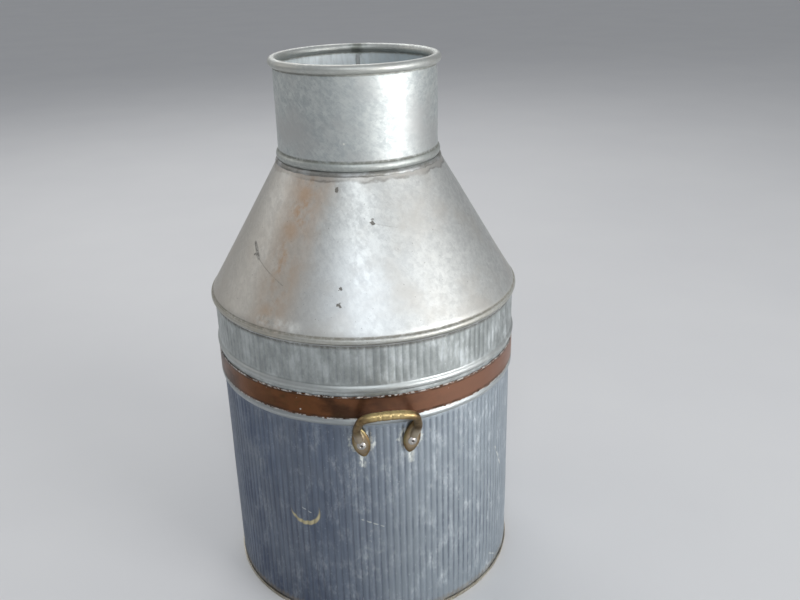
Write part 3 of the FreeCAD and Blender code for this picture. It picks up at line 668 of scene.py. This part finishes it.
def body_path():
    """Centre line of the body: ribbed wall, two beads with the waist between, upper ribbed band."""
    low = BODY_RADIUS - SHEET / 2
    high = UPPER_RADIUS - SHEET / 2
    path = [(low, BODY_LOW), *straight((low, RIBS_LOW), (low, RIBS_LOW + 3), 2)]
    path += straight((low, RIBS_LOW + 3), (low, WAIST_LOW - 3), 6)
    path += straight((low, WAIST_LOW - 3), (low, LOWER_BEAD - BEAD_HALF), 3)
    path += bead_path(low, high, LOWER_BEAD, BEAD_HALF, BEAD_PROUD, 9)
    path += bead_path(high, high, UPPER_BEAD, BEAD_HALF, BEAD_PROUD, 9)
    path += straight((high, WAIST_HIGH - 1), (high, WAIST_HIGH + 3), 2)
    path += straight((high, WAIST_HIGH + 3), (high, RIBS_HIGH - 2), 3)
    return path + [(high, RIBS_HIGH - 2), (high, RIBS_HIGH), (high, BODY_TOP)]


def make_body():
    def warp(angle, radius, height):
        dents = ripple(angle, height, 11, 0.16, (3, 14), 90) - 0.2
        return radius - rib_drop(angle, height) + dents, height

    section = thick_section(body_path(), SHEET)
    piece = ring_mesh("ribbed_body", section, rib_angles(), warp, sharp=50)
    keep(piece, "ribbed_sheet", "body_shell")


def make_copper_strip():
    radius = strip_outer - STRIP_GAUGE / 2
    path = straight((radius, STRIP_LOW), (radius, STRIP_HIGH), 8) + [(radius, STRIP_HIGH)]

    def warp(angle, r, height):
        share = (height - STRIP_LOW) / (STRIP_HIGH - STRIP_LOW)
        top = ripple(angle, 0, 21, 0.22, (9, 70), count=12) - 0.3
        bottom = ripple(angle, 0, 22, 0.22, (9, 70), count=12) + 0.3
        height = height + top * share + bottom * (1 - share)
        return r + 0.1 + ripple(angle, height, 23, 0.05, (4, 16), 30), height

    piece = ring_mesh("copper_band", thick_section(path, STRIP_GAUGE), even_angles(480), warp)
    keep(piece, "copper", "copper_strip")


# ------------------------------ shoulder and neck
def make_cone():
    inset = SHEET / 2
    top = (CONE_HEAD_RADIUS - inset, CONE_TOP)
    foot = (CONE_FOOT_RADIUS - inset, CONE_FOOT)
    path = bead_path(foot[0], foot[0], SKIRT_LOW + SKIRT_HEIGHT / 2, SKIRT_HEIGHT / 2, SKIRT_PROUD - 0.1, 13)
    path[-1] = (foot[0] - 0.25, CONE_FOOT)
    path += straight((foot[0] - 0.6, CONE_FOOT + 1.2), top, 30) + [top]

    def warp(angle, radius, height):
        rise = np.clip((height - CONE_FOOT) / 25, 0, 1) * np.clip((CONE_TOP - height) / 10, 0, 1)
        return radius + rise * (ripple(angle, height, 31, 0.28, (2, 10), 110) - 0.3), height

    piece = ring_mesh("cone_shoulder", thick_section(path, SHEET), even_angles(480), warp)
    keep(piece, "cone_sheet", "shoulder_cone")


def neck_path():
    """Centre line of the neck: wall, swaged bead, and the top edge rolled outwards."""
    wall = NECK_RADIUS - SHEET / 2
    roll = RIM_SECTION - SHEET / 2
    path = straight((wall, NECK_LOW), (wall, NECK_BEAD - NECK_BEAD_HALF), 3)
    path += bead_path(wall, wall, NECK_BEAD, NECK_BEAD_HALF, NECK_BEAD_PROUD, 13)
    path += straight((wall, NECK_BEAD + NECK_BEAD_HALF + 1), (wall, RIM_HEIGHT - roll - 2), 14)
    path += [(wall - 0.3, RIM_HEIGHT - roll - 0.6)]
    turns = np.radians(np.linspace(225, -75, 22))
    return path + [(RIM_CENTRE + roll * math.cos(t), RIM_HEIGHT + roll * math.sin(t)) for t in turns]


def make_neck():
    def warp(angle, radius, height):
        share = np.clip((height - NECK_BEAD) / 12, 0, 1) * np.clip((RIM_HEIGHT - height) / 12, 0, 1)
        return radius + share * (ripple(angle, height, 41, 0.22, (2, 7), 80) - 0.1), height

    piece = ring_mesh("neck_and_rim", thick_section(neck_path(), SHEET), even_angles(360), warp)
    keep(piece, "neck_sheet", "neck_tube")


def make_rim_wire():
    turns = np.radians(np.arange(0, 360, 18))
    loop = [(RIM_CENTRE + WIRE * math.cos(t), RIM_HEIGHT + WIRE * math.sin(t)) for t in turns]
    piece = ring_mesh("wire_in_rim", loop, even_angles(240))
    keep(piece, "wire", "rim_wire")


# ------------------------------ base
def make_base():
    """The floor pan, its rim folded down and round the body's lower edge."""
    inner = pan_outer - 2.2
    outer = pan_outer - SHEET / 2
    sheet = PAN_TOP - SHEET / 2
    path = [(AXIS, sheet), *straight((6, sheet), (inner - 2.4, sheet), 14)]
    path += [(inner - 2.4, PAN_TOP - 0.5), (inner - 1.2, PAN_TOP - 0.9), (inner - 0.6, PAN_TOP - 2.2)]
    path += [(inner - 0.4, 1.8), (inner - 0.1, 0.9), (inner + 0.5, 0.45), (outer - 0.5, 0.45)]
    path += [(outer - 0.1, 0.9), (outer, 1.8), (outer, 4.0)]

    def warp(angle, radius, height):
        middle = np.clip(1 - radius / 120, 0, 1)
        return radius, height - middle * 0.6 - middle * 0.3 * (1 + np.sin(3 * angle))

    piece = ring_mesh("base_pan_hemmed", thick_section(path[::-1], SHEET), even_angles(360), warp)
    keep(piece, "floor_sheet", "base_pan")


# ------------------------------ solder and seams
def solder_ring(name, node, section, seed, lumps, reach_down=0.0):
    """A run of solder whose toe wanders and drips, rooted in the corner that it fills."""
    section = np.array(section, float)
    root = section[0]
    span = np.linalg.norm(section - root, axis=1).max()

    def warp(angle, radius, height):
        away = np.hypot(radius - root[0], height - root[1]) / span
        swell = ripple(angle, 0, seed, lumps, (8, 60), count=14) * away
        drip = np.clip(ripple(angle, 0, seed + 1, 1.0, (20, 90), count=14) - 0.9, 0, None)
        down = (height < root[1]) * away * drip * reach_down
        return radius + 0.4 * swell + 0.5 * down, height - 0.5 * swell - down

    piece = ring_mesh(name, section, even_angles(600), warp, sharp=70)
    keep(piece, "solder", node)


def make_solder():
    slope = (CONE_FOOT_RADIUS - CONE_HEAD_RADIUS) / (CONE_TOP - CONE_FOOT)

    def on_cone(drop, out):
        return CONE_HEAD_RADIUS + slope * drop + out, CONE_TOP - drop + out * slope

    joint = [(NECK_RADIUS + 0.6, CONE_TOP + 0.8), (NECK_RADIUS + 0.1, CONE_TOP + 0.1),
             on_cone(0.6, 0.02), on_cone(2.4, 0.02), on_cone(2.9, 0.12), on_cone(2.2, 0.62),
             on_cone(1.2, 0.85), (NECK_RADIUS + 1.5, CONE_TOP + 0.5)]
    solder_ring("solder_under_neck", "neck_joint_solder", joint, 51, 0.25, 0.5)
    wall = UPPER_RADIUS
    skirt = [(wall, SKIRT_LOW - 0.05), (wall, SKIRT_LOW - 1.6), (wall + 0.3, SKIRT_LOW - 1.3),
             (wall + 0.6, SKIRT_LOW - 0.7), (wall + 1.0, SKIRT_LOW - 0.05)]
    solder_ring("solder_under_skirt", "shoulder_solder", skirt, 53, 0.2, 0.4)
    inner = pan_outer - 3.4
    floor = [(inner, PAN_TOP + 0.1), (inner, PAN_TOP + 2), (inner - 0.8, PAN_TOP + 0.6),
             (inner - 2, PAN_TOP + 0.1)]
    solder_ring("solder_in_floor", "base_seam_solder", floor, 55, 0.15)


STRIP_POINTS, STRIP_STEP = 9, 1.5
STRIP_SUNK = np.full(STRIP_POINTS, 0.12)


def seam_strip(name, slot_name, node, spans, angle, width, rise, seed, inside=False):
    """A raised strip up the wall: spans give its lower and upper points as (radius, height)."""
    points = []
    faces = []
    draw = np.random.default_rng(seed)
    across = np.linspace(-1, 1, STRIP_POINTS)
    profile = (1 - np.abs(across) ** 4) * rise
    for low, high in spans:
        rows = max(12, int((high[1] - low[1]) / STRIP_STEP))
        first = len(points)
        wander = np.convolve(draw.normal(0, 1, rows + 8), np.ones(9) / 9, "valid")
        lumps = np.convolve(draw.normal(0, 1, rows + 4), np.ones(5) / 5, "valid")
        for row in range(rows):
            share = row / (rows - 1)
            base = low[0] + share * (high[0] - low[0])
            height = low[1] + share * (high[1] - low[1])
            fade = min(1.0, 5 * share, 5 * (1 - share)) ** 0.5
            half = width / 2 * (1 + 0.10 * wander[row])
            proud = np.concatenate([profile * fade * (1 + 0.18 * lumps[row]), -STRIP_SUNK])
            turn = math.radians(angle) + across * half / base
            turn = np.concatenate([turn, turn[::-1]])
            points += round_axis(turn, base - proud if inside else base + proud, height).tolist()
        faces += [[first + corner for corner in face] for face in slab_faces(rows, STRIP_POINTS)]
    if inside:
        faces = [face[::-1] for face in faces]
    keep(build_mesh(name, points, faces, 60), slot_name, node)


def make_seams():
    def upright(radius, low, high):
        return (radius, low), (radius, high)

    body = (upright(BODY_RADIUS - 0.1, RIBS_LOW + 1, WAIST_LOW + 1),
            upright(UPPER_RADIUS - 0.1, WAIST_HIGH - 1, RIBS_HIGH - 0.5))
    lap = upright(strip_outer + 0.1, STRIP_LOW + 1, STRIP_HIGH - 1)
    cone = [(cone_radius(height), height) for height in (CONE_FOOT + 3, SOLDER_TOE)]
    neck = NECK_BEAD + NECK_BEAD_HALF + 0.5, RIM_HEIGHT - RIM_SECTION - 0.5
    outside, inside = upright(NECK_RADIUS, *neck), upright(NECK_RADIUS - SHEET, *neck)
    seam_strip("body_seam_fold", "ribbed_sheet", "body_lock_seam", body, BODY_SEAM_ANGLE, 9, 1.0, 61)
    seam_strip("copper_lap_solder", "solder", "strip_lap_solder", [lap], BODY_SEAM_ANGLE, 9, 0.5, 62)
    seam_strip("cone_seam_solder_run", "solder", "cone_seam_solder", [cone], SEAM_ANGLE, 8, 0.5, 63)
    seam_strip("neck_seam_solder_run", "solder", "neck_seam_solder", [outside], SEAM_ANGLE, 7, 0.5, 64)
    seam_strip("neck_ridge_inside", "solder", "neck_inner_ridge", [inside], SEAM_ANGLE, 4.5, 0.9, 65, True)


# ------------------------------ handles
GRIP_RISE, GRIP_REACH, GRIP_SECTION = 37.5, 160.5, 4.0
LEG_RISE, LEG_REACH, LEG_START, LEG_HALF = 5.0, 141.5, 23.6, 26.2
GRIP_HALF = 15.0
GRIP_TOP = RIVET_HEIGHT + GRIP_RISE
FOOT_UP, FOOT_DOWN, FOOT_HALF, FOOT_LEAN = 19.0, 12.5, 7.6, 11.0
FOOT_EDGE, FOOT_RIDGE, FOOT_PAD = 2.5, 1.5, 22.0
FOOT_ROWS, FOOT_COLUMNS = 41, 21
CASTING_VOXEL = 0.45
GRIP_NOTCHES = ((-9.5, -0.35), (-7.8, 0.30), (-6.0, -0.40), (2.0, -0.35), (8.5, -0.30))


def handle_line():
    """Centre line of the bar, from the left foot to the right, with even spacing."""
    base = np.array([0, -LEG_REACH, RIVET_HEIGHT + LEG_RISE])
    top = np.array([0, -GRIP_REACH, RIVET_HEIGHT + GRIP_RISE])
    up = top - base
    corners = [(-LEG_START, 0.0), (-LEG_HALF, 0.40), (-LEG_HALF + 2.0, 0.76), (-20.6, 0.91),
               (-GRIP_HALF + 2.0, 0.975), (-6.0, 0.995), (0.0, 1.0)]
    corners += [(-x, share) for x, share in corners[-2::-1]]
    guide = np.array([[x, *(base + up * share)[1:]] for x, share in corners])
    curve = smooth_line(guide, 40)
    steps = np.linalg.norm(np.diff(curve, axis=0), axis=1)
    run = np.concatenate([[0], np.cumsum(steps)])
    even = np.linspace(0, run[-1], 160)
    return np.stack([np.interp(even, run, curve[:, axis]) for axis in range(3)], -1)


def smooth_line(guide, pieces):
    """Catmull-Rom curve through the guide points."""
    ends = np.vstack([2 * guide[0] - guide[1], guide, 2 * guide[-1] - guide[-2]])
    share = np.arange(pieces)[:, None] / pieces
    runs = []
    for a, b, c, d in zip(ends, ends[1:], ends[2:], ends[3:]):
        runs.append(0.5 * (2 * b + (c - a) * share + (2 * a - 5 * b + 4 * c - d) * share ** 2
                           + (3 * b - a - 3 * c + d) * share ** 3))
    return np.vstack([*runs, guide[-1:]])


def tube_mesh(line, radii, sides=24):
    """Points and faces of a closed tube along a line."""
    along = np.gradient(line, axis=0)
    along /= np.linalg.norm(along, axis=1)[:, None]
    out = np.cross(along, [0, 0.35, 1.0])
    out /= np.linalg.norm(out, axis=1)[:, None]
    over = np.cross(along, out)
    turns = even_angles(sides)[:, None]
    ring = out[:, None] * np.cos(turns) + over[:, None] * np.sin(turns)
    points = (line[:, None] + ring * radii[:, None, None]).reshape(-1, 3)
    faces = turned_over(ring_faces(len(line), sides, closed=False))
    return points, [*faces, [*range(sides)][::-1], [*range(len(points) - sides, len(points))]]


def foot_mesh(side):
    """Points and faces of one leaf-shaped foot, ridged along the middle, on the can's wall.

    Its edge faces start a corner further on, which sets how the remesh splits them.
    """
    share = np.linspace(0, 1, FOOT_ROWS)[:, None]
    across = np.linspace(-1, 1, FOOT_COLUMNS)
    z = -FOOT_DOWN + (FOOT_UP + FOOT_DOWN) * share
    x = across * (FOOT_HALF * np.sin(math.pi * share ** 0.85) ** 0.72 + 0.05)
    lean = math.radians(FOOT_LEAN) * side
    flat_x = x * math.cos(lean) + z * math.sin(lean)
    flat_z = -x * math.sin(lean) + z * math.cos(lean)
    ends = np.clip(np.sin(math.pi * share), 0, 1) ** 0.35
    swell = FOOT_EDGE + FOOT_RIDGE * (1 - np.abs(across) ** 3) * ends
    pad = np.exp(-(flat_x ** 2 + flat_z ** 2) / FOOT_PAD)
    swell = swell * (1 - pad) + (FOOT_FACE - BODY_RADIUS) * pad
    turn = math.radians(RIVET_ANGLE) * side + flat_x / (BODY_RADIUS + 2)
    height = RIVET_HEIGHT + flat_z
    top = round_axis(turn, BODY_RADIUS + swell, height)
    back = round_axis(turn, BODY_RADIUS + 0.1, height)
    points = np.concatenate([top, back[:, ::-1]], axis=1).reshape(-1, 3)
    faces = slab_faces(FOOT_ROWS, FOOT_COLUMNS)
    for edge in range(FOOT_COLUMNS - 1, (FOOT_ROWS - 1) * 2 * FOOT_COLUMNS, FOOT_COLUMNS):
        faces[edge] = faces[edge][1:] + faces[edge][:1]
    return points, faces


def grip_radii(line):
    """The bar is thickest in mid grip, slimmer on the legs, with cast rings and notches."""
    span = np.linspace(-1, 1, len(line))
    radii = 3.45 + 0.55 * np.exp(-(span / 0.42) ** 4) + 0.25 * np.abs(span) ** 6
    grip = np.abs(line[:, 0]) < GRIP_HALF
    for place, change in GRIP_NOTCHES:
        radii += grip * change * np.exp(-((line[:, 0] - place) / 0.75) ** 2)
    return np.minimum(radii, GRIP_SECTION)


def casting(name, node, turn):
    """One handle: bar and feet fused, softened like a casting and cleared from the wall."""
    line = handle_line()
    points, faces = tube_mesh(line, grip_radii(line))
    for side in (-1, 1):
        foot, quads = foot_mesh(side)
        faces += [[corner + len(points) for corner in quad] for quad in quads]
        points = np.vstack([points, foot])
    piece = build_mesh(name, points, faces)
    remesh = piece.modifiers.new("fuse", "REMESH")
    remesh.mode = "VOXEL"
    remesh.voxel_size = CASTING_VOXEL * MM
    soften = piece.modifiers.new("soften", "SMOOTH")
    soften.factor, soften.iterations = 0.5, 3
    graph = bpy.context.evaluated_depsgraph_get()
    mesh = bpy.data.meshes.new_from_object(piece.evaluated_get(graph))
    piece.modifiers.clear()
    piece.data = mesh
    place = np.empty(len(mesh.vertices) * 3)
    mesh.vertices.foreach_get("co", place)
    place = place.reshape(-1, 3)
    radius = np.hypot(place[:, 0], place[:, 1])
    push = np.maximum(radius, (BODY_RADIUS + 0.1) * MM) / radius
    place[:, :2] *= push[:, None]
    mesh.vertices.foreach_set("co", place.ravel())
    mesh.transform(turned(turn, "Z"))
    mesh.shade_smooth()
    keep(piece, "brass_casting", node)


RIVET_HEAD, RIVET_DOME, RIVET_BORE, RIVET_TAIL = 4.0, 1.6, 1.2, 135.4


def lathe_along_radius(loops, turn):
    """Closed outlines of (radius, distance from the can's axis), turned about each rivet."""
    points = np.empty((0, 3))
    faces = []
    spin = even_angles(40)[:, None]
    for side in (-1, 1):
        angle = math.radians(turn + side * RIVET_ANGLE)
        out = np.array([math.sin(angle), -math.cos(angle), 0])
        right = np.array([math.cos(angle), math.sin(angle), 0])
        for loop in loops:
            radius, distance = np.array(loop, float).T
            level, rise = radius * np.cos(spin), radius * np.sin(spin) + RIVET_HEIGHT
            group = distance[:, None] * out + level[..., None] * right + rise[..., None] * np.array(UP)
            faces += (ring_faces(*level.shape) + len(points)).tolist()
            points = np.vstack([points, group.reshape(-1, 3)])
    return points, faces


def make_rivets(side, turn):
    face, bore, tail = FOOT_FACE, RIVET_BORE, RIVET_TAIL
    dome = [(RIVET_HEAD * math.cos(t), face + RIVET_DOME * math.sin(t))
            for t in np.radians([0, 12, 28, 45, 60])]
    head = [(1.9, face - 3), (1.9, face - 0.05), (RIVET_HEAD - 0.1, face - 0.05), *dome,
            (1.62, face + 1.58), (1.35, face + 1.45), (bore, face + 1.1), (bore, face - 3)]
    bulb = [(bore, tail), (2.7, tail), (2.9, tail + 0.8), (2.7, tail + 3), (bore, tail + 3)]
    end = face + 0.9
    pin = [(AXIS, tail - 1.5), (1.8, tail - 1.5), (2.0, tail - 0.8), (1.8, tail - 0.1), (1.1, tail - 0.1),
           (1.1, end - 0.15), (0.85, end), (0.4, end - 0.1), (AXIS, end + 0.1)]
    for kind, loops, slot_name, node in (("rivets", [head, bulb], "rivet_aluminium", "rivet_shells"),
                                         ("rivet_stems", [pin], "rivet_pin", "rivet_pins")):
        piece = build_mesh(f"{side}_{kind}", *lathe_along_radius(loops, turn), 50)
        keep(piece, slot_name, f"{side}_{node}")


# ------------------------------ studio
def make_floor():
    half = 20.0 / MM
    corners = [(-half, -half, 0), (half, -half, 0), (half, half, 0), (-half, half, 0)]
    floor = build_mesh("studio_floor", corners, [(0, 1, 2, 3)])
    coat = Surface("pale_floor", metallic=0.0)
    cloud = coat.noise(300, detail=3)
    coat.base(cloud, (0.66, 0.66, 0.67), (0.72, 0.72, 0.72))
    floor.data.materials.append(coat.finish(0.85))


def area_light(name, place, aim, width, height, watts, colour=(1, 1, 1), spread=180):
    """A soft lamp in metres and watts, pointed at a place on the can's axis, aim above the ground."""
    data = bpy.data.lights.new(name, "AREA")
    data.shape = "RECTANGLE"
    data.size, data.size_y = width, height
    data.energy = watts
    data.spread = math.radians(spread)
    data.color = colour
    lamp = bpy.data.objects.new(name, data)
    lamp.location = place
    lamp.rotation_euler = (Vector((0, 0, aim)) - place).to_track_quat("-Z", "Y").to_euler()
    bpy.context.scene.collection.objects.link(lamp)


def around(angle, distance, height):
    """A lamp's place in metres, from degrees round the can."""
    return Vector(round_axis(math.radians(angle), distance, height))


def make_lights():
    area_light("soft_front", around(-6, 1.8, 1.7), 0.35, 0.7, 0.8, 12, (0.91, 0.96, 1.0))
    area_light("wide_right", around(46, 2.6, 0.6), 0.5, 1.3, 0.9, 21, spread=120)
    area_light("high_right", around(85, 1.8, 1.4), 0.35, 0.9, 0.9, 2.2)
    area_light("high_left", around(-110, 1.8, 1.2), 0.40, 0.9, 0.9, 4, (1.0, 0.96, 0.92))
    area_light("back_fill", around(185, 1.7, 2.0), 0.2, 1.6, 1.3, 18)
    world = bpy.data.worlds.new("studio")
    bpy.context.scene.world = world
    world.use_nodes = True
    tree = world.node_tree
    place = tree.nodes.new("ShaderNodeTexCoord")
    split = tree.nodes.new("ShaderNodeSeparateXYZ")
    tree.links.new(place.outputs["Generated"], split.inputs[0])
    dome = tree.nodes.new("ShaderNodeMapRange")
    dome.data_type = "FLOAT_VECTOR"
    level, zenith = dome.inputs[9], dome.inputs[10]
    level.default_value = (0.215, 0.22, 0.225)
    zenith.default_value = (0.42, 0.435, 0.46)
    tree.links.new(split.outputs["Z"], dome.inputs["Vector"])
    tree.links.new(dome.outputs["Vector"], tree.nodes["Background"].inputs["Color"])


# The photograph's view: how far round the can the camera stands, its distance from the axis and
# height in metres, how it is tilted, panned and rolled in degrees, and its lens in millimetres.
CAMERA_SIDE = -5.5
CAMERA_DISTANCE, CAMERA_HEIGHT = 0.78, 0.597
CAMERA_TILT, CAMERA_PAN, CAMERA_ROLL = -23.0, 2.5, -1.5
CAMERA_LENS = 39.2


def turned(degrees, axis):
    return Matrix.Rotation(math.radians(degrees), 4, axis)


def make_camera():
    data = bpy.data.cameras.new("camera")
    data.sensor_width = 36
    data.lens = CAMERA_LENS
    data.clip_start = 0.01
    camera = bpy.data.objects.new("camera", data)
    stand = Matrix.Translation((0, -CAMERA_DISTANCE, CAMERA_HEIGHT))
    aim = turned(-CAMERA_PAN, "Z") @ turned(90 + CAMERA_TILT, "X") @ turned(CAMERA_ROLL, "Z")
    camera.matrix_world = turned(CAMERA_SIDE, "Z") @ stand @ aim
    bpy.context.scene.collection.objects.link(camera)
    bpy.context.scene.camera = camera


# ------------------------------ assembly
MATERIALS = {
    "ribbed_sheet": ribbed_sheet(),
    "cone_sheet": cone_sheet(),
    "neck_sheet": neck_sheet(),
    "floor_sheet": plain_metal("zinc_floor", (0.34, 0.30, 0.23), (0.60, 0.57, 0.50)),
    "copper": copper(),
    "brass_casting": brass(),
    "solder": solder(),
    "wire": plain_metal("wire_steel", (0.38, 0.37, 0.35), (0.55, 0.55, 0.53)),
    "rivet_aluminium": plain_metal("rivet_metal", (0.36, 0.34, 0.32), (0.66, 0.64, 0.61), grain=0.9),
    "rivet_pin": plain_metal("stem_metal", (0.08, 0.07, 0.06), (0.22, 0.20, 0.18), grain=0.6),
}
make_body()
make_copper_strip()
make_cone()
make_neck()
make_rim_wire()
make_base()
make_solder()
make_seams()
for side, turn in (("front", 0), ("back", 180)):
    casting(f"{side}_handle_cast", f"{side}_handle", turn)
    make_rivets(side, turn)
make_floor()
make_lights()
make_camera()
bpy.context.scene.view_settings.view_transform = "Standard"

bpy.context.view_layer.update()
